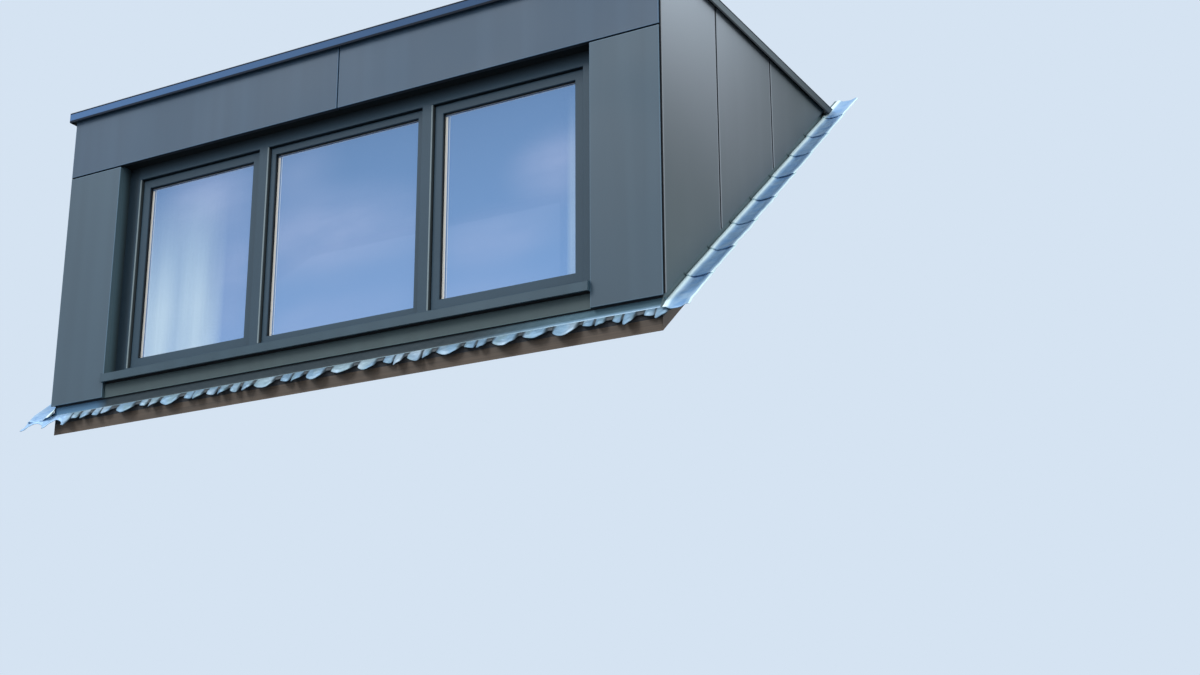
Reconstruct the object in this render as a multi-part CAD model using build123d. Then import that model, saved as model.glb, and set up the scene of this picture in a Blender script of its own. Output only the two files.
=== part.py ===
"""Flat-roofed box dormer with three lights, set on the rafters of a pitched roof.

Millimetres. X runs along the front, Y into the roof and Z up. While the pieces are
drawn, y = 0 is the face of the front cladding and z = 0 the foot of the two piers.
The finished pieces are moved so that the origin lies on the sloping underside of the
front sole plate, in the middle of its width, where the dormer bears on the rafters.
"""
import os
from math import cos, pi, radians, sin, tan

from build123d import *

# Overall form
front_width = 3610          # from cheek face to cheek face
roof_pitch = 40             # degrees
wall_top = 1610             # foot of the piers to the underside of the roof trim
fascia_height = 326         # front face above the opening
pier_width = 367            # from cheek face to the edge of the opening

# Build-up of the walls, the roof and the sole frame
core = 120                  # insulated wall element
roof_core = 160             # insulated roof element
lining = 12.5               # inner board
plate_thickness = 45        # sole plates, laid flat on the rafters
plate_width = 145           # rear sole plate, measured up the slope
board_width = 380           # board that carries the covering up the slope
plate_lead = 20             # rear plate starts this far in front of the roof element

# Sloping plane that the flashings are dressed on
foot_gap = 55               # below the foot of the cladding
flashing_height = 90        # above the rafters, measured square to them

# Folded cladding panels
sheet = 3
fold_radius = 2
panel_depth = 25
panel_joint = 8
cheek_joint = 14
corner_joint = 10
corner_clearance = 2        # between the folds of the two panels at a corner
panel_lap = 20              # cladding that runs up behind the roof trim
cheek_seams = (583, 1219)   # from the front face
sill_panel_depth = 10
reveal_depth = 80           # face of the window frame behind the cladding

# Roof covering and edge trim
membrane = 3
kerb_width = 45
kerb_height = 30
membrane_turn_up = 250
trim_sheet = 3
trim_projection = 22
trim_height = 55
trim_lip = 12
trim_end_gap = 5            # above the flashing at the back

# Window
frame_bottom = 118          # underside of the window frame
frame_depth = 70
frame_side = 80             # faces of the frame's members
frame_head = 72
frame_foot = 45
mullion = 60
left_light = 807            # clear widths of two of the openings
middle_light = 952
frame_chamfer = 2
light_setback = 18          # face of the lights behind the face of the frame
light_gap = 5
light_depth = 60
light_lap = 15              # flange of a light over the room side of the frame
light_chamfer = 2
sash_face = 46              # stiles and rails of the opening lights
fixed_face = 30             # stiles and bottom rail of the fixed light
fixed_head = 37             # its top rail
glass_setback = 20
glass_thickness = 24
glass_edge = 15             # glass held in the rebate
glass_clearance = 3

# Window sill outside and window board inside
sill_projection = 22
sill_nose = 42
sill_sheet = 3
sill_upstand = 15
sill_return = 12
sill_rise = 9
board_depth = 180
board_thickness = 20
board_clearance = 2

# Flashings
flashing = 2.5
apron_length = 115          # down the slope
apron_drop = 14             # crests below the side flashings
apron_wave = 150            # one crest and one trough
apron_dip = 30              # troughs below crests, plumb
apron_reach_left = 155      # beyond the cheeks
apron_reach_right = 25
apron_folds = 12            # flats in one wave
apron_gap = 3
left_flashing_width = 150   # from the cheek
right_flashing_width = 115
side_flashing_lead = 15
side_flashing_overrun = 260
side_course = 320           # one lapped length up the slope
side_step = 10
side_lip = 16

# Curtains
rail_width = 16
rail_height = 22
rail_setback = 45           # behind the room side of the lights
rail_end_gap = 60
curtain_thickness = 44
curtain_drop_gap = 12
left_curtain_width = 900
right_curtain_width = 420

# Values worked out from the sizes above
slope = tan(radians(roof_pitch))
along = cos(radians(roof_pitch))
rise = sin(radians(roof_pitch))
half_width = front_width / 2
opening_half = half_width - pier_width
opening_top = wall_top - fascia_height
core_half = half_width - panel_depth
room_half = core_half - core
wall_back = panel_depth + core
room_front = wall_back + lining
deck_top = wall_top + trim_height - kerb_height - trim_sheet
deck_bottom = deck_top - roof_core
ceiling = deck_bottom - lining
panel_top = wall_top + panel_lap
seat_drop = foot_gap + flashing_height / along
bearing_drop = seat_drop - plate_thickness / along
plate_front = (deck_bottom + bearing_drop) / slope - plate_lead
plate_back = plate_front + plate_width * along
board_back = plate_back + board_width * along
frame_back = reveal_depth + frame_depth
light_front = reveal_depth + light_setback
light_back = light_front + light_depth
glass_front = light_front + glass_setback
glass_back = glass_front + glass_thickness
light_bottom = frame_bottom + frame_foot
light_top = opening_top - frame_head
origin_y = panel_depth + core / 2
origin_z = slope * origin_y - seat_drop


def slope_z(y, drop):
    """Height at y of the plane that lies a given drop below the foot line."""
    return slope * y - drop


def slope_y(z, drop):
    """Depth at which such a plane reaches the height z."""
    return (z + drop) / slope


def block(x0, x1, y0, y1, z0, z1):
    """Straight block between two corners."""
    middle = Pos((x0 + x1) / 2, (y0 + y1) / 2, (z0 + z1) / 2)
    return middle * Box(x1 - x0, y1 - y0, z1 - z0)


def prism_x(outline, x0, x1):
    """Prism with a (y, z) outline, between two x positions."""
    face = make_face(Plane.YZ.offset(x0) * Polyline(*outline, close=True))
    return extrude(face, amount=x1 - x0, dir=(1, 0, 0))


def prism_z(outline, z0, z1):
    """Prism with an (x, y) outline, between two heights."""
    face = make_face(Plane.XY.offset(z0) * Polyline(*outline, close=True))
    return extrude(face, amount=z1 - z0, dir=(0, 0, 1))


def mirrored(piece):
    """The same piece on the left-hand side."""
    return mirror(piece, about=Plane.YZ)


def cassette(outline, plane, depth):
    """Folded sheet panel: a face whose edges are all returned to the wall."""
    outer = make_face(Polyline(*outline, close=True))
    inner = offset(outer, amount=-sheet, kind=Kind.INTERSECTION)
    inward = (0, 0, -1)
    tray = extrude(outer, amount=depth, dir=inward)
    tray -= Pos(0, 0, -sheet) * extrude(inner, amount=depth, dir=inward)
    folds = tray.faces().sort_by(Axis.Z)[-1].outer_wire().edges()
    return plane * fillet(folds, fold_radius)


def rectangle(x0, x1, z0, z1):
    """Outline of a rectangular panel."""
    return [(x0, z0), (x1, z0), (x1, z1), (x0, z1)]


front_plane = Plane((0, 0, 0), x_dir=(1, 0, 0), z_dir=(0, -1, 0))
sill_panel_plane = front_plane.offset(sill_panel_depth - panel_depth)
cheek_plane = Plane((half_width, 0, 0), x_dir=(0, 1, 0), z_dir=(1, 0, 0))


# Sole frame on the rafters

def sloping_plate(x0, x1, y0, y1):
    """Plate that lies flat on the rafters, with plumb-cut ends."""
    outline = [
        (y0, slope_z(y0, seat_drop)),
        (y1, slope_z(y1, seat_drop)),
        (y1, slope_z(y1, bearing_drop)),
        (y0, slope_z(y0, bearing_drop)),
    ]
    return prism_x(outline, x0, x1)


def sole_plates():
    side = sloping_plate(room_half, core_half, wall_back, plate_back)
    return {
        "sole_plate_front": sloping_plate(-core_half, core_half, panel_depth, wall_back),
        "sole_plate_right": side,
        "sole_plate_left": mirrored(side),
        "rear_sole_plate": sloping_plate(-room_half, room_half, plate_front, plate_back),
        "upturn_board": sloping_plate(-core_half, core_half, plate_back, board_back),
    }


# Insulated wall and roof elements

def front_core(x0, x1, top):
    """Part of the front wall that stands on the sole frame."""
    outline = [
        (panel_depth, slope_z(panel_depth, bearing_drop)),
        (wall_back, slope_z(wall_back, bearing_drop)),
        (wall_back, top),
        (panel_depth, top),
    ]
    return prism_x(outline, x0, x1)


def wall_elements():
    reveal_back = opening_half + sheet
    head = opening_top + sheet
    pier = front_core(reveal_back, core_half, head)
    cheek_outline = [
        (wall_back, slope_z(wall_back, bearing_drop)),
        (slope_y(deck_bottom, bearing_drop), deck_bottom),
        (wall_back, deck_bottom),
    ]
    cheek = prism_x(cheek_outline, room_half, core_half)
    return {
        "front_apron_core": front_core(-reveal_back, reveal_back, frame_bottom),
        "pier_core_right": pier,
        "pier_core_left": mirrored(pier),
        "header_core": block(-core_half, core_half, panel_depth, wall_back, head, deck_bottom),
        "cheek_core_right": cheek,
        "cheek_core_left": mirrored(cheek),
    }


def roof_panel():
    """Roof element, cut to the slope where it bears on the rafters."""
    outline = [
        (panel_depth, deck_bottom),
        (slope_y(deck_bottom, bearing_drop), deck_bottom),
        (slope_y(deck_top, bearing_drop), deck_top),
        (panel_depth, deck_top),
    ]
    return prism_x(outline, -core_half, core_half)


# Inner boards

def cheek_lining():
    outline = [
        (room_front, slope_z(room_front, seat_drop)),
        (plate_front, slope_z(plate_front, seat_drop)),
        (plate_front, ceiling),
        (room_front, ceiling),
    ]
    return prism_x(outline, room_half - lining, room_half)


def ceiling_lining():
    outline = [
        (room_front, ceiling),
        (slope_y(ceiling, bearing_drop), ceiling),
        (slope_y(deck_bottom, bearing_drop), deck_bottom),
        (room_front, deck_bottom),
    ]
    return prism_x(outline, -room_half, room_half)


def front_lining():
    """Board round the window, open over the whole window frame."""
    outline = [
        (wall_back, slope_z(wall_back, seat_drop)),
        (room_front, slope_z(room_front, seat_drop)),
        (room_front, deck_bottom),
        (wall_back, deck_bottom),
    ]
    board = prism_x(outline, -room_half, room_half)
    return board - block(-opening_half, opening_half, 0, light_back, frame_bottom, opening_top)


def window_board():
    reach = opening_half - board_clearance
    return block(
        -reach, reach, frame_back, frame_back + board_depth,
        frame_bottom, frame_bottom + board_thickness,
    )


# Metal cladding

def front_panel(inner, z0, z1):
    """Panel from x = inner to the corner, where its fold clears the cheek's."""
    outer = half_width - corner_joint
    panel = cassette(rectangle(inner, outer, z0, z1), front_plane, panel_depth)
    fold_end = corner_joint - corner_clearance
    return panel - block(core_half, half_width, fold_end, panel_depth, z0, z1)


def fascia_panel():
    return front_panel(panel_joint / 2, opening_top, panel_top)


def pier_panel():
    return front_panel(opening_half, 0, opening_top - panel_joint)


def sill_apron_panel():
    reach = opening_half - panel_joint / 2
    outline = rectangle(-reach, reach, 0, frame_bottom - sill_nose - panel_joint / 2)
    return cassette(outline, sill_panel_plane, sill_panel_depth)


def cheek_panels():
    """Three panels between plumb seams, cut to the slope at their foot."""
    starts = [corner_joint] + [seam + cheek_joint / 2 for seam in cheek_seams]
    ends = [seam - cheek_joint / 2 for seam in cheek_seams]
    panels = []
    for start, end in zip(starts, ends):
        outline = [
            (start, slope_z(start, 0)),
            (end, slope_z(end, 0)),
            (end, panel_top),
            (start, panel_top),
        ]
        panels.append(cassette(outline, cheek_plane, panel_depth))
    last = starts[-1]
    point = [(last, slope_z(last, 0)), (slope_y(panel_top, 0), panel_top), (last, panel_top)]
    panels.append(cassette(point, cheek_plane, panel_depth))
    return Compound(panels)


def reveals():
    side = block(
        opening_half, opening_half + sheet, panel_depth, reveal_depth,
        frame_bottom, opening_top,
    )
    soffit = block(
        -opening_half, opening_half, panel_depth, reveal_depth,
        opening_top, opening_top + sheet,
    )
    return {"reveal_right": side, "reveal_left": mirrored(side), "reveal_soffit": soffit}


# Roof covering and edge trim

def roof_membrane():
    """Sheet over the roof and up the slope, lapped over a kerb at three edges."""
    top = deck_top + membrane
    lifted = bearing_drop - membrane / along
    end_y = slope_y(deck_top, bearing_drop) + membrane_turn_up * along
    outline = [
        (panel_depth, deck_top),
        (slope_y(deck_top, bearing_drop), deck_top),
        (end_y, slope_z(end_y, bearing_drop)),
        (end_y, slope_z(end_y, lifted)),
        (slope_y(top, lifted), top),
        (panel_depth, top),
    ]
    sheet_part = prism_x(outline, -core_half, core_half)
    kerb_top = deck_top + kerb_height
    front_kerb = block(
        -core_half, core_half, panel_depth, panel_depth + kerb_width, deck_top, kerb_top,
    )
    side_outline = [
        (panel_depth, deck_top),
        (slope_y(deck_top, bearing_drop), deck_top),
        (slope_y(kerb_top, bearing_drop), kerb_top),
        (panel_depth, kerb_top),
    ]
    side_kerb = prism_x(side_outline, core_half - kerb_width, core_half)
    return sheet_part + front_kerb + side_kerb + mirrored(side_kerb)


def front_strip(outer, inner, z0, z1):
    """Mitred strip along the front, between two offsets from the cladding."""
    outline = [
        (-half_width - outer, -outer),
        (half_width + outer, -outer),
        (half_width + inner, -inner),
        (-half_width - inner, -inner),
    ]
    return prism_z(outline, z0, z1)


def side_strip(outer, inner, z0, z1):
    """Mitred strip along the right cheek, back to the sloping plane."""
    back = slope_y(wall_top + trim_height, foot_gap)
    outline = [
        (half_width + outer, -outer),
        (half_width + outer, back),
        (half_width + inner, back),
        (half_width + inner, -inner),
    ]
    return prism_z(outline, z0, z1)


def trim_profile(strip):
    """Angle with a deep face and a flange that laps the kerb and turns down."""
    top = wall_top + trim_height
    under = top - trim_sheet
    inner = -panel_depth - kerb_width - trim_sheet
    face = strip(trim_projection, trim_projection - trim_sheet, wall_top, top)
    flange = strip(trim_projection, inner, under, top)
    lip = strip(inner + trim_sheet, inner, top - trim_lip, top)
    return face + flange + lip


def roof_trims():
    top = wall_top + trim_height
    lowest = wall_top - trim_height
    lifted = foot_gap - (side_step + flashing + trim_end_gap) / along
    behind = slope_y(top, foot_gap) + trim_height
    beyond_end = prism_x(
        [
            (slope_y(lowest, lifted), lowest),
            (slope_y(top, lifted), top),
            (behind, top),
            (behind, lowest),
        ],
        0, front_width,
    )
    side = trim_profile(side_strip) - beyond_end
    return {
        "roof_trim_front": trim_profile(front_strip),
        "roof_trim_right": side,
        "roof_trim_left": mirrored(side),
    }


# Window

def light_bounds():
    """Left and right edges of the three openings in the window frame."""
    first = -opening_half + frame_side
    second = first + left_light + mullion
    third = second + middle_light + mullion
    return [
        (first, first + left_light),
        (second, second + middle_light),
        (third, opening_half - frame_side),
    ]


def window_frame():
    """One welded frame with two mullions and chamfered inner edges."""
    frame = block(
        -opening_half, opening_half, reveal_depth, frame_back, frame_bottom, opening_top,
    )
    for left, right in light_bounds():
        frame -= block(left, right, 0, 2 * frame_back, light_bottom, light_top)
    inner_edges = frame.faces().sort_by(Axis.Y)[0].inner_wires().edges()
    return chamfer(inner_edges, frame_chamfer)


def light_frame(left, right, side, head):
    """Casement: body in the frame, flange on the room side, rebate for the glass."""
    x0, x1 = left + light_gap, right - light_gap
    z0, z1 = light_bottom + light_gap, light_top - light_gap
    body = block(x0, x1, light_front, light_back, z0, z1)
    flange = block(
        left - light_lap, right + light_lap, frame_back, light_back,
        light_bottom - light_lap, light_top + light_lap,
    )
    sight = (x0 + side, x1 - side, z0 + side, z1 - head)
    rebate = (sight[0] - glass_edge, sight[1] + glass_edge,
              sight[2] - glass_edge, sight[3] + glass_edge)
    frame = body + flange
    frame -= block(sight[0], sight[1], 0, 2 * light_back, sight[2], sight[3])
    frame = chamfer(frame.faces().sort_by(Axis.Y)[0].edges(), light_chamfer)
    frame -= block(rebate[0], rebate[1], glass_front, 2 * light_back, rebate[2], rebate[3])
    glass = block(
        rebate[0] + glass_clearance, rebate[1] - glass_clearance, glass_front, glass_back,
        rebate[2] + glass_clearance, rebate[3] - glass_clearance,
    )
    bead = block(rebate[0], rebate[1], glass_back, light_back, rebate[2], rebate[3])
    bead -= block(sight[0], sight[1], 0, 2 * light_back, sight[2], sight[3])
    return frame, glass, bead


def lights():
    names = ("left", "middle", "right")
    frames = ("sash_left", "fixed_light_frame", "sash_right")
    faces = ((sash_face, sash_face), (fixed_face, fixed_head), (sash_face, sash_face))
    pieces = {}
    beads = []
    for name, node, bounds, face in zip(names, frames, light_bounds(), faces):
        frame, glass, bead = light_frame(*bounds, *face)
        pieces[node] = frame
        pieces["glass_" + name] = glass
        beads.append(bead)
    pieces["glazing_beads"] = Compound(beads)
    return pieces


def window_sill():
    """Sloping pressed sill with a deep nose, an upstand and closed ends."""
    nose_top = frame_bottom
    nose_foot = nose_top - sill_nose
    back_z = nose_top + sill_rise
    face_y = -sill_projection
    outline = [
        (face_y, nose_foot),
        (face_y, nose_top),
        (reveal_depth - sill_sheet, back_z + sill_sheet),
        (reveal_depth - sill_sheet, back_z + sill_upstand),
        (reveal_depth, back_z + sill_upstand),
        (reveal_depth, back_z),
        (face_y + sill_sheet, nose_top - sill_sheet),
        (face_y + sill_sheet, nose_foot + sill_sheet),
        (face_y + sill_return, nose_foot + sill_sheet),
        (face_y + sill_return, nose_foot),
    ]
    sill = prism_x(outline, -opening_half, opening_half)
    cap_outline = [
        (face_y, nose_foot),
        (face_y, nose_top + sill_sheet),
        (panel_depth, nose_top + sill_rise + sill_sheet),
        (panel_depth, nose_foot),
    ]
    cap = prism_x(cap_outline, opening_half - sill_sheet, opening_half)
    return sill + cap + mirrored(cap)


# Flashings

def flashing_point(distance, lift):
    """Point (y, z) up the slope from the front face, lifted square to the slope."""
    return (distance * along - lift * rise, distance * rise + lift * along - foot_gap)


def apron_flashing():
    """Soft apron: an upstand on the wall, then dressed down the slope in waves."""
    left = -half_width - apron_reach_left
    right = half_width + apron_reach_right
    flats = round((right - left) / apron_wave) * apron_folds
    crest = slope_z(panel_depth, foot_gap) + flashing / along - apron_drop
    wave = []
    for fold in range(flats + 1):
        dip = apron_dip * (1 - cos(2 * pi * fold / apron_folds)) / 2
        wave.append((left + (right - left) * fold / flats, crest - dip))
    under = [(x, z - flashing / along) for x, z in wave]
    wall = Plane((0, panel_depth, 0), x_dir=(1, 0, 0), z_dir=(0, -1, 0))
    section = wall * make_face(Polyline(*wave, *under[::-1], close=True))
    dressed = extrude(section, amount=apron_length, dir=(0, -along, -rise))
    upstand = block(
        -core_half, core_half, panel_depth - flashing, panel_depth,
        crest - apron_dip, -apron_gap,
    )
    return dressed + upstand


def side_flashing(width):
    """Channel beside the cheek, made of lengths that lap down the slope."""
    start = -side_flashing_lead
    end = slope_y(wall_top, foot_gap) / along + side_flashing_overrun
    courses = round((end - start) / side_course)
    course = (end - start) / courses
    top, under, raised = [], [], []
    for index in range(courses):
        foot = start + index * course
        lap = flashing if index else 0
        for distance, lift, inset in ((foot, side_step, lap), (foot + course, 0, 0)):
            top.append(flashing_point(distance, lift + flashing))
            under.append(flashing_point(distance + inset, lift))
            raised.append(flashing_point(distance, lift + side_lip))
    outer = half_width + width
    base = prism_x(top + under[::-1], core_half, outer)
    lip = prism_x(raised + under[::-1], outer - flashing, outer)
    wall_end = slope_y(wall_top, 0)
    wall_line = [
        (panel_depth, slope_z(panel_depth, foot_gap)),
        (wall_end, slope_z(wall_end, foot_gap)),
        (wall_end, slope_z(wall_end, apron_gap)),
        (panel_depth, slope_z(panel_depth, apron_gap)),
    ]
    upstand = prism_x(wall_line, core_half, core_half + flashing)
    return base + lip + upstand


# Curtains behind the lights

def curtains():
    rail_y = light_back + rail_setback
    reach = room_half - lining - rail_end_gap
    rail = block(
        -reach, reach, rail_y - rail_width / 2, rail_y + rail_width / 2,
        ceiling - rail_height, ceiling,
    )
    top = ceiling - rail_height
    bottom = frame_bottom + board_thickness + curtain_drop_gap
    front, back = rail_y - curtain_thickness / 2, rail_y + curtain_thickness / 2
    return {
        "curtain_rail": rail,
        "net_curtain_left": block(-reach, -reach + left_curtain_width, front, back, bottom, top),
        "net_curtain_right": block(reach - right_curtain_width, reach, front, back, bottom, top),
    }


def build():
    """All pieces by node name, with the origin on the mounting face."""
    fascia = fascia_panel()
    pier = pier_panel()
    cheek = cheek_panels()
    lining_right = cheek_lining()
    pieces = {
        **sole_plates(),
        **wall_elements(),
        "roof_panel": roof_panel(),
        "cheek_lining_right": lining_right,
        "cheek_lining_left": mirrored(lining_right),
        "ceiling_lining": ceiling_lining(),
        "front_lining": front_lining(),
        "window_board": window_board(),
        "fascia_panel_right": fascia,
        "fascia_panel_left": mirrored(fascia),
        "pier_panel_right": pier,
        "pier_panel_left": mirrored(pier),
        "sill_apron_panel": sill_apron_panel(),
        "cheek_panels_right": cheek,
        "cheek_panels_left": mirrored(cheek),
        **reveals(),
        "roof_membrane": roof_membrane(),
        **roof_trims(),
        "window_frame": window_frame(),
        **lights(),
        "window_sill": window_sill(),
        "apron_flashing": apron_flashing(),
        "side_flashing_right": side_flashing(right_flashing_width),
        "side_flashing_left": mirrored(side_flashing(left_flashing_width)),
        **curtains(),
    }
    return {name: Pos(0, -origin_y, -origin_z) * piece for name, piece in pieces.items()}


if __name__ == "__main__":
    os.makedirs("parts", exist_ok=True)
    for name, piece in build().items():
        export_step(piece, f"parts/{name}.step")
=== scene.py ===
"""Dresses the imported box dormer: finishes, flashings, glazing, handles, curtains and a stage."""

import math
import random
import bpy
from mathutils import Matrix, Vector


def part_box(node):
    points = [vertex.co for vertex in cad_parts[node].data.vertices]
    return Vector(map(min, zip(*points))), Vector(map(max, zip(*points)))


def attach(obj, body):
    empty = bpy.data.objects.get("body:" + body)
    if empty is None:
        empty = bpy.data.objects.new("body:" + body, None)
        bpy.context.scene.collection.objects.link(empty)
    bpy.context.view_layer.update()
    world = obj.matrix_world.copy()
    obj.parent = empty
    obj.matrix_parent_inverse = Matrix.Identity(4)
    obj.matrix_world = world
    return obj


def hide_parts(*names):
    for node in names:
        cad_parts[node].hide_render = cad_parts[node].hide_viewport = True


bl_info = {
    "name": "Box dormer dressing",
    "version": (1, 0, 0),
    "blender": (4, 5, 0),
    "location": "View3D > Sidebar > Dormer",
    "description": "Finishes and fine pieces for a flat-roofed box dormer",
    "category": "Object",
}

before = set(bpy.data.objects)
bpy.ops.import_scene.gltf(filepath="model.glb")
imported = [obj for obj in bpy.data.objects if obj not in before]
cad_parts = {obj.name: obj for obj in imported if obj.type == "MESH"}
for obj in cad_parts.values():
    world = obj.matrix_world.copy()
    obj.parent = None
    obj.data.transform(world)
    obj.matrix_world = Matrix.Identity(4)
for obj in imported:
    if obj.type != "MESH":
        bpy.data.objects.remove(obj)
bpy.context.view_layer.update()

import bmesh
import bpy
from bpy.props import FloatProperty, FloatVectorProperty, IntProperty, PointerProperty
from bpy.types import NodeSocket, Operator, Panel, PropertyGroup
from mathutils import Matrix, Vector, noise

MM = 0.001

# Places that several pieces share, read from the CAD nodes
FRONT_FACE, CLADDING_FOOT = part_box("pier_panel_right")[0].yz
CHEEK_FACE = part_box("cheek_panels_right")[1].x
TRIM_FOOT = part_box("roof_trim_front")[0].z

# Middle of the gaps between a cheek's panels, which are 583 and 636 mm wide
SEAMS = (FRONT_FACE + 583 * MM, FRONT_FACE + 1219 * MM)


def linear(code):
    """Linear red, green and blue of an sRGB hex code."""
    values = [int(code[i:i + 2], 16) / 255 for i in (1, 3, 5)]
    return tuple(v / 12.92 if v <= 0.04045 else ((v + 0.055) / 1.055) ** 2.4 for v in values)


def colour(label, code, description):
    """Colour property whose default is an sRGB hex code."""
    return FloatVectorProperty(name=label, description=description, subtype="COLOR",
                               size=3, min=0, max=1, default=linear(code))


def length(label, value, description):
    """Length property in metres."""
    return FloatProperty(name=label, description=description, unit="LENGTH",
                         min=0, default=value)


class DormerColours(PropertyGroup):
    """Colours of the finishes"""
    fascia_metal: colour("Fascia panels", "#41586C", "Folded panels above the window")
    pier_metal: colour("Pier panels", "#445A68", "Folded panels beside the window")
    cheek_metal: colour("Cheek panels", "#5B6165", "Folded panels of the two sides")
    cheek_foot: colour("Foot of the cheeks", "#4B5A5B", "The same panels lower down")
    sill_metal: colour("Sill panel", "#3E5052", "Low panel under the window")
    # Painted shade: near black, also the painted shade on profiles and deep reveals
    soffit: colour("Soffit", "#0C1011", "Sheet under the fascia, where light hardly comes")
    reveal_metal: colour("Reveals", "#445960", "Returns of the cladding to the window")
    # Painted shade: stands for the shade in open joints, returns and along trim edges
    joint_shade: colour("Joints", "#10151A", "Sealant and shade inside the joints")
    trim_metal: colour("Roof trim", "#3B5677", "Deep edge trim along the front")
    side_trim: colour("Side trim", "#6B777B", "Edge trim over the cheeks")
    profile: colour("Profiles outside", "#374D5B", "Foiled outer faces of the window")
    profile_inside: colour("Profiles inside", "#E9EAE6", "Room side of the window")
    # Painted highlight on the frame's arrises at the openings
    arris_highlight: colour("Arrises", "#8C9C9F", "Edges of the window frame that catch light")
    sill: colour("Window sill", "#3A515D", "Coated sill")
    # Painted reflection of daylight; glass_pale gives its painted cloud reflections
    glass: colour("Glass", "#80A1C9", "Tint of the coated outer pane")
    glass_pale: colour("Pale reflection", "#BBC7E6", "Tint of the brighter patches in it")
    # Painted paler pane where the lit net would show through
    glass_net: colour("Net behind glass", "#DFF1FC", "Tint where a net is close behind")
    # Painted edge strips: seal, painted reflection of its dark flank, highlight line
    edge_seal: colour("Edge seal", "#FFFCF0", "Seal between the two panes at their edges")
    seal_shadow: colour("Seal's shadow", "#6A87B0", "Its darker flank, seen in the pane")
    edge_highlight: colour("Edge line", "#CFE0F2", "Bright line of the pane's cut edge")
    flashing: colour("Flashings", "#80A3BC", "Dressed sheet")
    # Pale patches, and the painted highlight on creases, welts and outer edges
    flashing_bright: colour("Rubbed sheet", "#B9CDDA", "Ridges that the tool has rubbed")
    flashing_dull: colour("Dull sheet", "#76A2CE", "Hollows of the dressed sheet")
    # Painted reflection on the apron past its left corner; also the side sheets' tint
    pale_flashing: colour("New sheet", "#9ABFE0", "Corner that was dressed anew")
    # Painted reflection on the apron's upstand near its left corner
    upstand_reflection: colour("New upstand", "#4B7594", "Its upstand beside that corner")
    # Weather-worn patches of the apron; darker, the painted shade on side upstands
    flashing_wear_and_shade: colour("Worn sheet", "#7C9A9F", "Weathered patches of the apron")
    # Painted shade between the apron's tongues
    tongue_shade: colour("Grime", "#27333A", "Dirt in the creases of the flashings")
    upstand: colour("Flashing upstand", "#1E3037", "Upper part of the front flashing")
    membrane: colour("Roof sheet", "#35383B", "Sheet over the flat roof")
    timber: colour("Sole timber", "#57493B", "Treated plates on the rafters")
    element: colour("Insulated elements", "#2C2E31", "Membrane round the elements")
    lining: colour("Inner boards", "#DEDDD8", "Painted boards")
    bead: colour("Glazing beads", "#F2F3F0", "White beads and spacers")
    rubber: colour("Gaskets", "#16191B", "Glazing gaskets")
    net: colour("Net curtains", "#F1F5F8", "Sheer curtains")
    white_metal: colour("Rail and handles", "#D9DADB", "White coated metal")
    floor: colour("Floor", "#AFB9C1", "Studio floor")
    backdrop: colour("Backdrop", "#D5E3F2", "Pale background")


class DormerSizes(PropertyGroup):
    """Sizes of the pieces that are added to the CAD nodes"""
    pitch: FloatProperty(name="Roof pitch", description="Slope that the dormer stands on",
                         subtype="ANGLE", default=math.radians(40))
    foot_gap: length("Foot gap", 55 * MM, "Foot of the cladding above the flashings' plane")
    sheet: length("Flashing sheet", 2.5 * MM, "Thickness of the flashings")
    apron_wave: length("Apron wave", 150 * MM, "One crest and one trough")
    apron_drop: length("Apron drop", 14 * MM, "Crease of the apron below the side flashings")
    apron_dip: length("Apron dip", 24 * MM, "Troughs below crests")
    apron_tongue: length("Apron tongue", 66 * MM, "Dressed length in the troughs")
    apron_short: length("Apron crest", 15 * MM, "Dressed length over the crests")
    fold_out: length("Corner fold", 45 * MM, "Width in which the upstand lies down at a corner")
    flashing_course: length("Flashing course", 320 * MM, "Lapped length up the slope")
    flashing_lead: length("Flashing lead", 15 * MM, "Side flashing in front of the cladding")
    flashing_lap: length("Flashing lap", 45 * MM, "Overlap of two lengths")
    flashing_step: length("Flashing step", 6 * MM, "Rise at the foot of each length")
    spacer: length("Spacer width", 19 * MM, "Ring between the two panes")
    gasket: length("Gasket width", 2.5 * MM, "Rubber line round the glass")
    glass_edge: length("Glass in the rebate", 12 * MM, "Hidden edge of each pane")
    handle: length("Handle length", 125 * MM, "Grip of a window handle")
    pleat: length("Curtain pleat", 112 * MM, "One fold of the net")
    floor_drop: length("Floor drop", 2.75, "Floor below the dormer's origin")
    courses_seed: IntProperty(name="Seed", description="Seed of the hand-dressed shapes",
                              default=7)


def sizes():
    """Sizes held by the scene."""
    return bpy.context.scene.dormer_sizes


def shades():
    """Colours held by the scene."""
    return bpy.context.scene.dormer_colours


# Materials

def add(tree, kind, *values, out=None, **settings):
    """Add a node with these settings; gives its output of this name, or its first one.

    The values go to the sockets that the node then offers: a constant, an output to link,
    or None for a socket that stays as it is.
    """
    node = tree.nodes.new(f"ShaderNode{kind}")
    for name, value in settings.items():
        setattr(node, name, value)
    for socket, value in zip([s for s in node.inputs if s.enabled], values):
        if isinstance(value, NodeSocket):
            tree.links.new(value, socket)
        elif value is not None:
            socket.default_value = (*value, 1) if socket.type == "RGBA" else value
    return next((s for s in node.outputs if s.enabled and out in (s.name, None)), None)


def finish(name, base, roughness, metallic=0.0, specular=0.5):
    """New material with these constants on its shader; gives (material, tree, shader)."""
    material = bpy.data.materials.new(name)
    material.use_nodes = True
    tree = material.node_tree
    shader = tree.nodes["Principled BSDF"]
    for socket, value in (("Base Color", (*base, 1)), ("Roughness", roughness),
                          ("Metallic", metallic), ("Specular IOR Level", specular)):
        shader.inputs[socket].default_value = value
    return material, tree, shader


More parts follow.
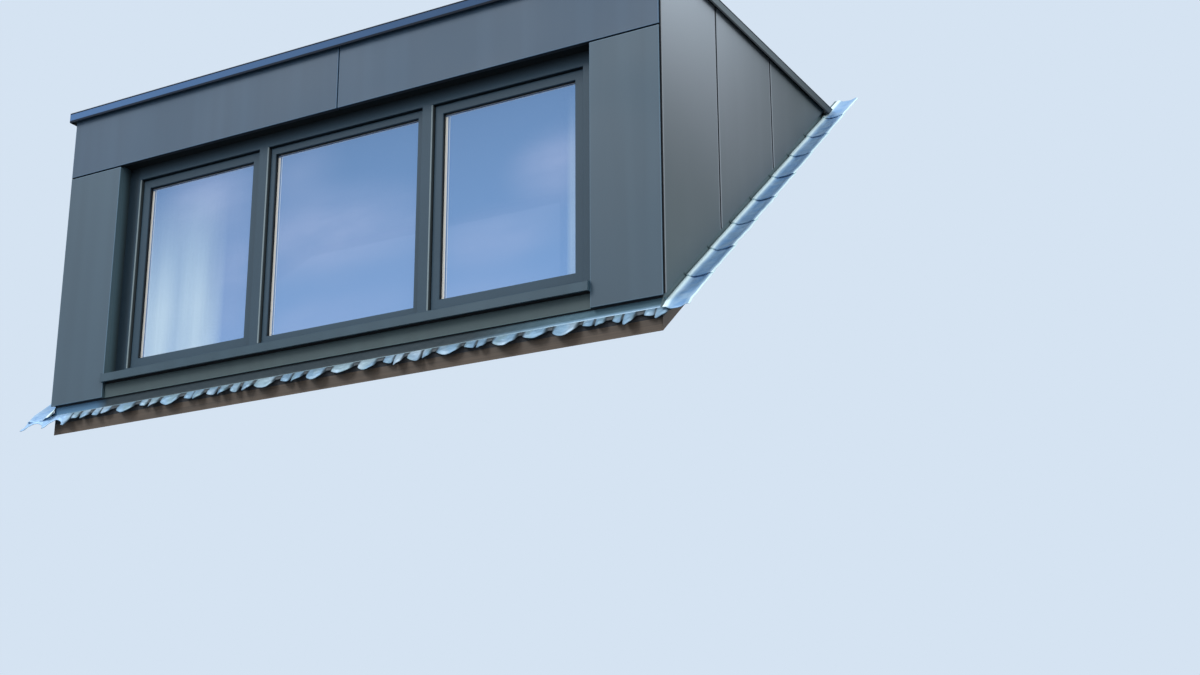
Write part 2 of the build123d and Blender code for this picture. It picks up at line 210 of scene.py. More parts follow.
def wear(shader, tone, *layers, **others):
    """Link a shader's colour, its bump from (height, millimetres) layers, and others."""
    tree, normal = shader.id_data, None
    for height, depth in layers:
        normal = others["Normal"] = add(tree, "Bump", 1.0, depth * MM, None, height, normal)
    for socket, value in {"Base Color": tone, **others}.items():
        tree.links.new(value, shader.inputs[socket])


def tinted(base, amount):
    """The same colour, lighter or darker by a share."""
    return tuple(min(1.0, c * amount) for c in base)


def coat(tree, under, over, *masks):
    """One colour laid over another as far as every mask, from 0 to 1, lets it."""
    amount = masks[0]
    for mask in masks[1:]:
        amount = add(tree, "Math", amount, mask, operation="MULTIPLY")
    return add(tree, "Mix", amount, under, over, data_type="RGBA")


def pattern(tree, size, stretch=(1, 1, 1), detail=2.0, spread=()):
    """Noise with features of a size in millimetres, drawn out along the axes by stretch.

    With spread, it goes from 0 to 1 between its first two values, or between what the
    next two values give.
    """
    where = add(tree, "TexCoord", out="Object")
    scaled = add(tree, "Mapping", where, None, None, [1 / (size * MM * s) for s in stretch])
    grain = add(tree, "TexNoise", scaled, 1.0, detail)
    return add(tree, "MapRange", grain, *spread) if spread else grain


def ramp(tree, axis, low, high, *seen):
    """0 at the low place and 1 at the high one along an axis, or the two values seen."""
    where = add(tree, "TexCoord", out="Object")
    place = add(tree, "SeparateXYZ", where, out=axis)
    return add(tree, "MapRange", place, low, high, *seen)


def strip(tree, axis, rise, fall):
    """1 between two places along an axis; each side is (where it is 0, where it is 1)."""
    return add(tree, "Math", ramp(tree, axis, *rise), ramp(tree, axis, *fall),
               operation="MINIMUM")


def folded_edges(tree, low, high, width):
    """1 on the edges of an upright panel between two corners, 0 inside it."""
    edge = 0.0
    for axis, start, end in (("X", low.x, high.x), ("Z", low.z, high.z)):
        for inner, outer in ((start + width, start), (end - width, end)):
            edge = add(tree, "Math", edge, ramp(tree, axis, inner, outer),
                       operation="MAXIMUM")
    return edge


def coated_aluminium(name, base, foot=1.0, top=1.0, roughness=0.5, node=None,
                     turned=None, specular=0.4):
    """Powder-coated folded aluminium sheet; gives (material, tree, shader, colour).

    The coat is satin with a fine orange peel, 2 mm in life and drawn at 5 mm so that it
    shows. The flat sheet buckles by a fraction of a millimetre over half a metre and rain
    leaves faint upright streaks. As painted shade, each wall goes from the foot share of
    the base at its foot to the top share up high. The folded edges carry a painted
    highlight. The returns behind them carry painted shade, but for what turned gives:
    (axis, where it starts, where it is full, colour).
    """
    material, tree, shader = finish(name, base, roughness, specular=specular)
    # Painted shade: foot share of the base low down, top share up high
    height_shaded = coat(tree, tinted(base, foot), tinted(base, top),
                     ramp(tree, "Z", CLADDING_FOOT, TRIM_FOOT))
    patches = pattern(tree, 600)
    streaks = pattern(tree, 70, (1, 1, 16), 3.0, (0.42, 0.75))
    washed = pattern(tree, 130, (1, 1, 25), 1.0, (0.5, 0.7))
    tone = height_shaded
    for share, mask in ((0.86, streaks), (1.1, add(tree, "MapRange", patches, 0.35, 0.8)),
                        (1.25, washed)):
        tone = coat(tree, tone, tinted(base, share), mask)
    tone = coat(tree, height_shaded, tone, 0.45)
    if node:
        low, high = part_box(node)
        # Painted highlight on the folded edges
        tone = coat(tree, tone, tinted(base, 2.3), folded_edges(tree, low, high, 5 * MM), 0.8)
        # Painted shade inside the returns, except where turned gives a colour
        within = shades().joint_shade
        if turned:
            axis, start, full, seen = turned
            within = coat(tree, within, seen, ramp(tree, axis, start, full))
        tone = coat(tree, tone, within, ramp(tree, "Y", low.y + 2 * MM, low.y + 3 * MM))
    wear(shader, tone, (pattern(tree, 500, detail=0.0), 2.2),
         (pattern(tree, 5, detail=1.0), 0.06),
         Roughness=add(tree, "MapRange", patches, 0.3, 0.7, roughness - 0.05,
                       roughness + 0.06))
    return material, tree, shader, tone


def cheek_sheet(side, base, sign):
    """Cheek sheet: a painted reflection up high, darker rearward, painted highlight and shade at
    seams.
    """
    material, tree, shader, tone = coated_aluminium(f"coated_cheek_sheet_{side}", base, 0.72,
                                                    roughness=0.46)
    start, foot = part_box("cheek_panels_right")[0].y, shades().cheek_foot
    # Darker and greener towards the foot
    tone = coat(tree, tone, foot, ramp(tree, "Z", TRIM_FOOT - 0.4, CLADDING_FOOT))
    # Painted reflection: much paler high up, towards the front
    reflection_up_high = ramp(tree, "Z", TRIM_FOOT - 1.15, TRIM_FOOT)
    tone = coat(tree, tone, tinted(base, 4.6), reflection_up_high, reflection_up_high,
                ramp(tree, "Y", start + 1.5, start))
    tone = coat(tree, tone, tinted(foot, 0.68), ramp(tree, "Y", start + 0.6, start + 1.7), 0.75)
    # Painted highlights on the folds beside each seam and at the front edge
    folds = [strip(tree, "Y", (seam - 17 * MM, seam - 12 * MM), (seam + 17 * MM, seam + 12 * MM))
             for seam in SEAMS]
    for edge in (*folds, ramp(tree, "Y", start + 8 * MM, start + 2 * MM)):
        tone = coat(tree, tone, tinted(base, 2.6), edge, 0.7)
    # Painted shade on all behind the cheek's face, inside the seams
    inside = ramp(tree, "X", sign * (CHEEK_FACE - 2 * MM), sign * (CHEEK_FACE - 3 * MM))
    wear(shader, coat(tree, tone, shades().joint_shade, inside))
    return material


def trim_sheet(name, base, axis, bright, dull):
    """Coated edge trim: painted shade at top and foot, a painted reflection fading along its run.
    """
    material, tree, shader, _ = coated_aluminium(name, base, roughness=0.55, specular=0.08)
    low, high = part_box("roof_trim_front")
    start, end = {"X": (low.x, high.x), "Y": (low.y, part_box("roof_trim_right")[1].y)}[axis]
    # Painted reflection: bright share at the run's start, dull share at its end
    tone = coat(tree, tinted(base, bright), tinted(base, dull), ramp(tree, axis, start, end))
    # Painted shade along the top edge and the foot of the trim
    edge_shade = add(tree, "Math", ramp(tree, "Z", high.z - 9 * MM, high.z - 7 * MM),
                 ramp(tree, "Z", low.z + 13 * MM, low.z + 11 * MM), operation="MAXIMUM")
    wear(shader, coat(tree, tone, shades().joint_shade, edge_shade, 0.92))
    return material


def foiled_profile(name, outside, inside, front, step, openings=()):
    """uPVC profile with a foil of dark, finely embossed film outside and bare white inside.

    The film ends where the glass sits, so the room side stays white. The flanks behind
    its face, the head under the soffit and the left jamb beside the reveal are darkened
    as painted shade, and the arrises at the openings carry a painted highlight. The
    embossing is 1 mm fine in life and drawn at 4 mm.
    """
    material, tree, shader = finish(name, outside, 0.5, specular=0.25)
    dark = shades().soffit
    grain = pattern(tree, 4, (1, 1, 3))
    film = coat(tree, tinted(outside, 0.9), tinted(outside, 1.1),
                add(tree, "MapRange", grain, 0.3, 0.8))
    film = coat(tree, film, tinted(outside, 1.07), pattern(tree, 350, spread=(0.3, 0.75)))
    if openings:
        # Painted shade on the left jamb beside the reveal
        jamb = openings[0][0].x
        film = coat(tree, film, dark, ramp(tree, "X", jamb - 6 * MM, jamb - 24 * MM), 0.5)
    # Painted highlight on the arrises at each opening's left side
    for low, high in openings:
        lit = strip(tree, "X", (low.x - 6 * MM, low.x - 4 * MM), (low.x + 2 * MM, low.x + MM))
        tall = strip(tree, "Z", (low.z, low.z + 2 * MM), (high.z, high.z - 2 * MM))
        film = coat(tree, film, shades().arris_highlight, lit, tall)
    # Painted shade on the flanks behind the face and the head under the soffit
    flank = ramp(tree, "Y", front + 2 * MM, front + 7 * MM, 0.0, 0.85)
    under = ramp(tree, "Z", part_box("sash_left")[1].z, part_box("window_frame")[1].z, 0.0, 0.9)
    film = coat(tree, film, dark, add(tree, "Math", flank, under, operation="MAXIMUM"))
    film = coat(tree, film, inside, ramp(tree, "Y", step, step + 0.1 * MM))
    wear(shader, film, (grain, 0.08))
    return material


def soft_patch(tree, middle, reach):
    """1 in the middle of an oval on the panes, fading to 0 at its rim."""
    where = add(tree, "TexCoord", out="Object")
    placed = add(tree, "Mapping", where, (-middle[0] / reach[0], 0, -middle[1] / reach[1]),
                 None, (1 / reach[0], 0, 1 / reach[1]))
    fade = add(tree, "TexGradient", placed, out="Fac", gradient_type="SPHERICAL")
    return add(tree, "MapRange", fade, interpolation_type="SMOOTHSTEP")


def coated_glass(side, patches, net):
    """Insulating glass with a coated outer sheet, as calm as still water.

    The outer sheet mirrors blue daylight as a painted reflection, paler low down, with soft
    pale patches of painted cloud reflection, uneven by a few percent where the panes bow.
    Where a net is close behind, the pane is painted paler, as the lit net would show. The
    coating stops short of the edges: along the left and top edges the pale edge seal is
    painted there with a painted reflection of its dark flank and a painted highlight line,
    and the right and bottom edges carry only that highlight line. The inner sheet is clear,
    so only the half of the slab that faces out carries the mirror.
    """
    shade, sight, opaque = shades(), sizes().glass_edge, 0.97
    material, tree, shader = finish(f"coated_glass_{side}", shade.glass, 0.03)
    low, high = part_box(f"glass_{side}")
    height = ramp(tree, "Z", low.z, high.z)
    # Painted reflection, paler low down
    tone = coat(tree, tinted(shade.glass, 1.25), tinted(shade.glass, 0.95), height)
    # Painted reflections of clouds in soft pale patches
    torn = pattern(tree, 200, (2.4, 1, 0.9), 4.0, (0.3, 0.75, 0.45, 1.0))
    for middle, reach, amount in patches:
        tone = coat(tree, tone, shade.glass_pale, soft_patch(tree, middle, reach), torn, amount)
    # Painted paler where the lit net close behind would show through
    if net:
        rim, inner, strength = net
        folds = pattern(tree, 130, (1, 1, 9), 1.0, (0.3, 0.7, 0.5 * strength, strength))
        hung = add(tree, "Math", ramp(tree, "X", rim, inner),
                   add(tree, "MapRange", height, 0.95, 0.25), operation="MULTIPLY")
        opaque = add(tree, "MapRange", hung, 0, 1, opaque, 0.88)
        tone = coat(tree, tone, shade.glass_net, hung, folds)
    # Edge strips: seal and painted reflection of its flank left and top; painted highlight line
    seal, shadow, line = shade.edge_seal, shade.seal_shadow, shade.edge_highlight
    mirror = 1.0
    for axis, edge, sign, lines in (
            ("X", low.x + sight, 1, ((29, line), (26, shadow), (17, seal))),
            ("Z", high.z - sight, -1, ((14, line), (12, shadow), (5, seal))),
            ("X", high.x - sight, -1, ((6, line),)),
            ("Z", low.z + sight, 1, ((6, line),))):
        for width, seen in lines:
            within = ramp(tree, axis, edge + sign * (width - 2) * MM, edge + sign * width * MM)
            tone = coat(tree, seen, tone, within)
            mirror = add(tree, "Math", mirror, within, operation="MINIMUM")
    middle = (low.y + high.y) / 2
    wear(shader, tone, (pattern(tree, 700, detail=0.0), 0.25),
         Metallic=add(tree, "MapRange", mirror, 0, 1, 0.0, 0.85),
         Alpha=ramp(tree, "Y", middle, middle + MM, opaque, 0.04))
    return material


def dressed_sheet(name, base):
    """Soft bright flashing sheet, dressed by hand; gives (material, tree, shader, colour).

    It keeps the marks of the dressing tool, 30 to 60 mm across, and a dull bloom
    in patches that the weather has left.
    """
    material, tree, shader = finish(name, base, 0.5, metallic=0.3)
    tone = coat(tree, base, tinted(base, 0.7),
                pattern(tree, 50, detail=4.0, spread=(0.42, 0.72)))
    tone = coat(tree, tone, shades().flashing_bright, pattern(tree, 160, spread=(0.5, 0.75)))
    wear(shader, tone, (pattern(tree, 45), 2.4), (pattern(tree, 12), 0.4))
    return material, tree, shader, tone


def marked(tree, low, high):
    """0 at one value of a sheet's marks, 1 at another."""
    mark = add(tree, "Attribute", out="Fac", attribute_name="mark")
    return add(tree, "MapRange", mark, low, high)


def apron_finish():
    """The apron: painted shade between its tongues, a painted band along its crease.

    Its upstand is dark, but has a painted reflection near the left corner and a paler one
    towards the right end, strongest at its foot. The sheet beyond the left corner has a
    painted reflection too, and the crease a painted highlight towards the right end.
    """
    shade = shades()
    material, tree, shader, tone = dressed_sheet("dressed_apron_sheet", shade.flashing)
    # Painted reflections and the crease's highlight, each as (start, full) along X
    corner_reflection, left_reflection, right_reflection, foot_reflection, rubbed = (
        ramp(tree, "X", *ends)
        for ends in ((-1.65, -1.69), (-1.42, -1.5), (0.8, 1.3), (0.7, 1.4), (0.7, 1.6)))
    tone = coat(tree, tone, shade.flashing_wear_and_shade,
                pattern(tree, 90, detail=1.0, spread=(0.5, 0.62)), 0.5)
    # Painted shade between the tongues
    tone = coat(tree, tone, shade.tongue_shade, marked(tree, 0.0, 1.0))
    tone = coat(tree, tone, shade.pale_flashing, corner_reflection)
    # Dark upstand with painted reflections at both ends, and at its foot on the right
    band = coat(tree, shade.upstand, shade.upstand_reflection, left_reflection)
    band = coat(tree, band, tinted(shade.upstand, 4.2), right_reflection)
    band = coat(tree, band, shade.flashing, foot_reflection, marked(tree, -1.05, -1.4))
    tone = coat(tree, tone, band, marked(tree, -0.5, -1.0))
    # Painted band on the crease: darker left, painted highlight towards the right
    crease = coat(tree, tinted(shade.flashing_wear_and_shade, 0.7), shade.flashing_bright, rubbed)
    wear(shader, coat(tree, tone, crease, marked(tree, -1.5, -2.0)))
    return material


def side_finish():
    """Side flashings: painted highlight on welt and rim, a dull blue valley, painted shade at the
    wall.
    """
    shade = shades()
    material, tree, shader, tone = dressed_sheet("dressed_side_sheet", shade.flashing)
    # Painted highlight on the welt by the wall and on the outer edge
    ridge_highlight = tinted(shade.flashing_bright, 1.6)
    tone = coat(tree, tone, shade.pale_flashing, 0.6)
    tone = coat(tree, ridge_highlight, tone, marked(tree, 34 * MM, 44 * MM))
    valley = add(tree, "Math", marked(tree, 42 * MM, 56 * MM), marked(tree, 128 * MM, 108 * MM),
                 operation="MINIMUM")
    hollows = pattern(tree, 100, (1, 0.6, 0.6), 3.0, (0.42, 0.6, 0.15, 0.95))
    tone = coat(tree, tone, shade.flashing_dull, valley, hollows)
    tone = coat(tree, tone, ridge_highlight, marked(tree, 130 * MM, 134 * MM))
    # Painted shade on the upstand against the wall
    tone = coat(tree, tone, tinted(shade.flashing_wear_and_shade, 0.4), marked(tree, 19 * MM, 15 * MM))
    wear(shader, tone)
    return material


def roofing_sheet(base):
    """Rubber roofing sheet: dull, with slack ripples and the dust that rain leaves.

    Its grain is 1 mm fine in life and drawn at 3 mm.
    """
    material, tree, shader = finish("rubber_roofing_sheet", base, 0.78)
    dust = pattern(tree, 300, detail=5.0, spread=(0.4, 0.7))
    wear(shader, coat(tree, base, tinted(base, 1.7), dust),
         (pattern(tree, 250, (1, 3, 1), 1.0), 4),
         (pattern(tree, 3, detail=1.0), 0.1))
    return material


def softwood(name, base, stretch, turn):
    """Planed softwood: growth rings 6 mm apart, drawn out along the plate."""
    material, tree, shader = finish(name, base, 0.6)
    turned = add(tree, "Mapping", add(tree, "TexCoord", out="Object"), None, turn)
    scaled = add(tree, "Mapping", turned, None, None, [1 / s for s in stretch])
    rings = add(tree, "TexNoise", scaled, 1.0, 4.0, None, None, 0.6)
    late = add(tree, "MapRange", rings, 0.35, 0.7)
    wear(shader, coat(tree, tinted(base, 1.1), tinted(base, 0.66), late), (rings, 0.3))
    return material


def felted_element(base):
    """Insulated element in a dark breather membrane: fibrous, matt, slightly slack.

    Its fibres are under 1 mm thick in life and drawn at 6 mm.
    """
    material, tree, shader = finish("breather_membrane", base, 0.9)
    fibres = pattern(tree, 6, (3, 3, 1), 3.0)
    pale = add(tree, "MapRange", fibres, 0.3, 0.8)
    wear(shader, coat(tree, tinted(base, 0.8), tinted(base, 1.5), pale),
         (pattern(tree, 180, detail=1.0), 2), (fibres, 0.2))
    return material


def painted_board(base):
    """Painted board: the roller leaves a stipple, 2 mm in life and drawn at 4 mm."""
    material, tree, shader = finish("painted_board", base, 0.55)
    wear(shader, coat(tree, base, tinted(base, 0.95), pattern(tree, 400, spread=(0.3, 0.7))),
         (pattern(tree, 4, detail=1.0), 0.08))
    return material


def moulded_plastic(name, base, roughness):
    """Extruded or moulded plastic: even, with a faint flow mark every 20 mm."""
    material, tree, shader = finish(name, base, roughness)
    flow = pattern(tree, 20)
    tone = coat(tree, base, tinted(base, 0.95), add(tree, "MapRange", flow, 0.3, 0.7))
    wear(shader, tone, (flow, 0.05))
    return material


def sheer_net(base):
    """Sheer polyester net: threads 1 mm apart let half the light by.

    They are too fine to show, so they are drawn 19 mm apart. A wave node runs through
    twenty radians for each unit of length and scale.
    """
    material, tree, shader = finish("sheer_polyester_net", base, 0.85)
    where = add(tree, "TexCoord", out="UV")
    scale = 2 * math.pi / 20 / (19 * MM)
    weft, warp = (add(tree, "TexWave", where, scale, 0.4, 1.0, out="Fac", bands_direction=axis)
                  for axis in ("X", "Y"))
    weave = add(tree, "Math", weft, warp, operation="MAXIMUM")
    wear(shader, coat(tree, tinted(base, 0.9), base, weave),
         Alpha=add(tree, "MapRange", weave, 0, 1, 0.55, 0.85))
    shader.inputs["Sheen Weight"].default_value = 0.3
    return material


def paint(material, *names):
    """Give CAD nodes this material."""
    for name in names:
        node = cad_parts[name]
        node.data.materials.clear()
        node.data.materials.append(material)


class DORMER_OT_metalwork(Operator):
    """Coat the cladding, the reveals, the roof trim and the window sill"""
    bl_idname = "dormer.metalwork"
    bl_label = "Coated metalwork"

    def execute(self, context):
        shade = shades()
        for side, sign in (("left", -1), ("right", 1)):
            fascia, pier = f"fascia_panel_{side}", f"pier_panel_{side}"
            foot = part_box(fascia)[0].z
            # Painted light on the fascia's returns keeps the gap between its panels faint
            paint(coated_aluminium(
                f"coated_fascia_sheet_{side}", shade.fascia_metal, node=fascia,
                turned=("Z", foot, foot + 2 * MM, tinted(shade.fascia_metal, 1.1)))[0], fascia)
            low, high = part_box(pier)
            inner = low.x if sign > 0 else high.x
            # Painted shade: piers darker low down, lighter high up
            paint(coated_aluminium(
                f"coated_pier_sheet_{side}", shade.pier_metal, 0.86, 1.12, node=pier,
                turned=("X", inner + sign * 3 * MM, inner + sign * MM, shade.reveal_metal))[0],
                pier)
            paint(cheek_sheet(side, shade.cheek_metal, sign), f"cheek_panels_{side}")
        for node, base, settings in (
                ("sill_apron_panel", shade.sill_metal, {"node": "sill_apron_panel"}),
                # The soffit's near-black colour is painted shade
                ("reveal_soffit", shade.soffit, {"roughness": 0.7, "specular": 0.15}),
                ("window_sill", shade.sill, {"roughness": 0.32})):
            paint(coated_aluminium(f"coated_{node}", base, **settings)[0], node)
        reveal, tree, shader, tone = coated_aluminium(
            "coated_reveal", shade.reveal_metal, roughness=0.7, specular=0.15)
        # Painted shade deeper in the reveals, towards the window
        reveal_shade = ramp(tree, "Y", FRONT_FACE + 35 * MM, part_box("window_frame")[0].y)
        wear(shader, coat(tree, tone, shade.soffit, reveal_shade, 0.75))
        paint(reveal, "reveal_left", "reveal_right")
        # Painted reflection fading along each trim's run
        paint(trim_sheet("coated_front_trim", shade.trim_metal, "X", 2.2, 0.65), "roof_trim_front")
        paint(trim_sheet("coated_side_trim", shade.side_trim, "Y", 1.4, 0.4),
              "roof_trim_left", "roof_trim_right")
        return {"FINISHED"}


class DORMER_OT_joinery(Operator):
    """Finish the window, its glass and its beads"""
    bl_idname = "dormer.joinery"
    bl_label = "Window finishes"

    # Per pane: its painted pale reflections, as (middle, reach, amount), and the net close
    # behind it, as the edge of it, where it is full, and how pale it is painted
    PANES = (
        ("left", (((-0.9, 1.12), (0.5, 0.36), 0.8), ((-0.72, 0.62), (0.36, 0.6), 0.55)),
         (-0.76, -0.86, 1.0)),
        ("middle", (((-0.16, 0.78), (0.8, 0.34), 0.85), ((0.34, 0.72), (0.4, 0.3), 0.35),
                    ((-0.1, 0.3), (0.9, 0.3), 0.45), ((-0.36, 1.14), (0.4, 0.3), 0.4)), None),
        ("right", (((1.2, 0.86), (0.36, 0.26), 0.8), ((0.85, 0.58), (0.5, 0.2), 0.6),
                   ((0.75, 0.28), (0.6, 0.22), 0.45)),
         (1.25, 1.275, 0.6)),
    )
    FLANGE = 15 * MM    # reach of each light behind the face of the frame

    def execute(self, context):
        shade = shades()
        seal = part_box("glass_left")[0].y
        lights = ("sash_left", "fixed_light_frame", "sash_right")
        lap = Vector((1, 0, 1)) * self.FLANGE
        edges = [(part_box(light)[0] + lap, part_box(light)[1] - lap) for light in lights]
        for name, nodes, openings in (("frame", ("window_frame",), edges),
                                      ("light", ("sash_left", "sash_right"), ()),
                                      ("fixed", ("fixed_light_frame",), ())):
            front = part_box(nodes[0])[0].y
            paint(foiled_profile(f"foiled_profile_{name}", shade.profile, shade.profile_inside,
                                 front, seal, openings), *nodes)
        for side, patches, net in self.PANES:
            paint(coated_glass(side, patches, net), f"glass_{side}")
        paint(moulded_plastic("white_bead_plastic", shade.bead, 0.3), "glazing_beads")
        return {"FINISHED"}


class DORMER_OT_structure(Operator):
    """Finish the sole timbers, the insulated elements, the boards and the roof sheet"""
    bl_idname = "dormer.structure"
    bl_label = "Structure and boards"

    def execute(self, context):
        shade = shades()
        turn, ring, run = (-sizes().pitch, 0, 0), 6 * MM, 0.6
        paint(softwood("softwood_across", shade.timber, (run, ring, ring), turn),
              "sole_plate_front", "rear_sole_plate", "upturn_board")
        paint(softwood("softwood_sloping", shade.timber, (ring, run, ring), turn),
              "sole_plate_left", "sole_plate_right")
        paint(felted_element(shade.element),
              "front_apron_core", "pier_core_left", "pier_core_right", "header_core",
              "cheek_core_left", "cheek_core_right", "roof_panel")
        paint(painted_board(shade.lining),
              "cheek_lining_left", "cheek_lining_right", "ceiling_lining", "front_lining",
              "window_board")
        paint(roofing_sheet(shade.membrane), "roof_membrane")
        paint(moulded_plastic("white_coated_rail", shade.white_metal, 0.35), "curtain_rail")
        return {"FINISHED"}


# Meshes

def smooth_step(value):
    """0 below 0, 1 above 1 and a soft rise between."""
    value = min(1.0, max(0.0, value))
    return value * value * (3 - 2 * value)


def ripple(point, size, height):
    """Small hand-made unevenness at a point, its size and height in millimetres."""
    return noise.noise(point / (size * MM)) * height * MM


def facing(bm, direction):
    """Turn an open sheet so that its faces look along a direction on the whole."""
    bm.normal_update()
    total = sum((f.normal * f.calc_area() for f in bm.faces), Vector())
    if total.dot(direction) < 0:
        bmesh.ops.reverse_faces(bm, faces=bm.faces)


def sheet_of(bm, columns, rows, place, mark=None):
    """Grid in bm whose points go to place(across, along), both from 0 to 1, with a mark."""
    made = bmesh.ops.create_grid(bm, x_segments=columns, y_segments=rows, size=0.5,
                                 calc_uvs=True)
    layer = bm.verts.layers.float.get("mark")
    for vert in made["verts"]:
        across, along = vert.co.x + 0.5, vert.co.y + 0.5
        vert.co = place(across, along)
        if mark:
            vert[layer] = mark(across, along)


def mesh_object(name, bm, material):
    """Object made from bm, at the origin."""
    mesh = bpy.data.meshes.new(name)
    bm.to_mesh(mesh)
    bm.free()
    mesh.materials.append(material)
    made = bpy.data.objects.new(name, mesh)
    bpy.context.scene.collection.objects.link(made)
    return made


def piece(name, bm, material, smooth=True):
    """Object that rides with the dormer."""
    made = mesh_object(name, bm, material)
    if smooth:
        made.data.shade_smooth()
    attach(made, "root")
    return made


def thicken(made, thickness):
    """Give an open sheet its thickness, below the side that it shows."""
    solid = made.modifiers.new("thickness", "SOLIDIFY")
    solid.thickness = thickness
    solid.offset = -1
    solid.use_even_offset = True


def new_bm():
    """Empty bmesh with a UV map and room for marks."""
    bm = bmesh.new()
    bm.loops.layers.uv.new("UVMap")
    bm.verts.layers.float.new("mark")
    return bm


def slope_frame():
    """Start of the flashings' plane below the front face, its way up and its normal."""
    pitch = sizes().pitch
    start = Vector((0, FRONT_FACE, CLADDING_FOOT - sizes().foot_gap))
    return (start, Vector((0, math.cos(pitch), math.sin(pitch))),
            Vector((0, -math.sin(pitch), math.cos(pitch))))


class DORMER_OT_apron(Operator):
    """Dress the front flashing: an upstand, a crease and hand-pressed tongues"""
    bl_idname = "dormer.apron"
    bl_label = "Front flashing"

    # The waves from the left end on whose lower edge arches, each arch as (middle, half)
    # in waves, and how long the sheet is there and how much shorter in an arch
    ARCHES = ((0.66, 0.34), (1.52, 0.36))
    LONGEST, RISE = 1.3, 0.55
    UNDER = 3 * MM                      # from the cladding's foot to the upstand's edge
    ROUNDING = 4 * MM                   # of the crease
    DRESSED, SUNK = 16 * MM, 55 * MM    # tongues and troughs are full this far from it
    LIP, LIP_RUN = 7 * MM, 14 * MM      # the edge is pressed down by one, over the other
    SWELL = 6 * MM                      # height of a tongue above the creases beside it
    TWINS = 0.45                        # share of the troughs that have two tongues

    def tongues(self, low, wave, count, rng):
        """Middle, half width and length of each tongue: one or two to a trough."""
        made = []
        for index in range(len(self.ARCHES), count):
            middle = low + (index + 0.5) * wave + rng.uniform(-9, 9) * MM
            if rng.random() < self.TWINS:
                apart = rng.uniform(29, 37) * MM
                split = rng.uniform(-6, 6) * MM
                for sign in (-1, 1):
                    half = rng.uniform(25, 34) * MM - sign * split
                    made.append((middle + sign * apart + split, half, rng.uniform(0.5, 0.9)))
            else:
                made.append((middle, rng.uniform(52, 66) * MM, rng.uniform(0.65, 0.95)))
        return made

    def execute(self, context):
        size = sizes()
        low, high = (v.copy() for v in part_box("apron_flashing"))
        low.x += size.sheet
        wall_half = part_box("sole_plate_front")[1].x
        start, up, normal = slope_frame()
        rng = random.Random(size.courses_seed)
        waves = round((high.x - low.x) / size.apron_wave)
        wave = (high.x - low.x) / waves
        tongues = self.tongues(low.x, wave, waves, rng)
        depths = [rng.uniform(0.6, 1.0) for _ in range(waves + 1)]
        crease = start + up * ((high.y - start.y) / up.y) + normal * size.sheet
        crease.z -= size.apron_drop
        up_length = CLADDING_FOOT - self.UNDER - crease.z
        total = up_length + size.apron_tongue

        def tongue_at(x):
            """How far into the nearest tongue x is, from 0 at its side, and its length."""
            phase = (x - low.x) / wave
            if phase < len(self.ARCHES):
                middle, half = self.ARCHES[int(phase)]
                off = 1 - ((phase - middle) / half) ** 2
                return 1.0, self.LONGEST - self.RISE * math.sqrt(max(0.0, off))
            best, reach = 0.0, 0.0
            for middle, half, share in tongues:
                inside = 1 - ((x - middle) / half) ** 2
                if inside > best:
                    best, reach = inside, share
            return best, reach

        def split(across, along):
            """Place along the front and distance from the crease, down the slope."""
            return low.x + across * (high.x - low.x), along * total - up_length

        def place(across, along):
            x, distance = split(across, along)
            flat = smooth_step((abs(x) - wall_half) / size.fold_out)
            bend = math.hypot(distance, self.ROUNDING) - self.ROUNDING
            rise, run = (bend - distance) / 2, (bend + distance) / 2
            phase = (x - low.x) / wave
            trough = (1 - math.cos(2 * math.pi * phase)) / 2
            trough += (1 - 2 * trough) * smooth_step((len(self.ARCHES) + 0.3 - phase) / 0.3)
            inside, share = tongue_at(x)
            beyond = size.apron_tongue * share - size.apron_short
            longest = size.apron_short + beyond * inside ** 0.35
            if run > 0:
                run *= longest / size.apron_tongue
            dip = size.apron_dip * depths[min(waves, int(phase))] * trough
            dressed = smooth_step(run / self.DRESSED)
            lip = self.LIP * smooth_step((run - longest + self.LIP_RUN) / self.LIP_RUN)
            leaning = (Vector((0, 0, 1)) * (1 - flat) + up * flat).normalized()
            point = Vector((x, crease.y, crease.z)) + leaning * rise - up * run
            point.z -= dip * smooth_step(run / self.SUNK) + lip * dressed
            point += normal * (self.SWELL * (inside - 0.5) * dressed)
            for width, height in ((45, 2.4), (16, 1.6)):
                point += normal * ripple(point, width, height) * dressed
            if flat == 0:
                point.y = min(point.y, high.y)
            return point

        def mark(across, along):
            """Painted shade between the tongues; -1 to -1.4 down the upstand and -2 on the crease.
            """
            x, distance = split(across, along)
            if distance < -2.5 * MM:
                return -1.0 - 0.4 * smooth_step(1 + distance / (20 * MM))
            if distance < 1.5 * MM:
                return -2.0
            inside = tongue_at(x)[0]
            return 1 - smooth_step(inside * 2.4) * (1 - 0.35 * smooth_step(4 - inside * 9))

        bm = new_bm()
        sheet_of(bm, waves * 30, 44, place, mark)
        facing(bm, normal)
        made = piece("front_flashing_sheet", bm, apron_finish())
        thicken(made, size.sheet)
        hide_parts("apron_flashing")
        return {"FINISHED"}


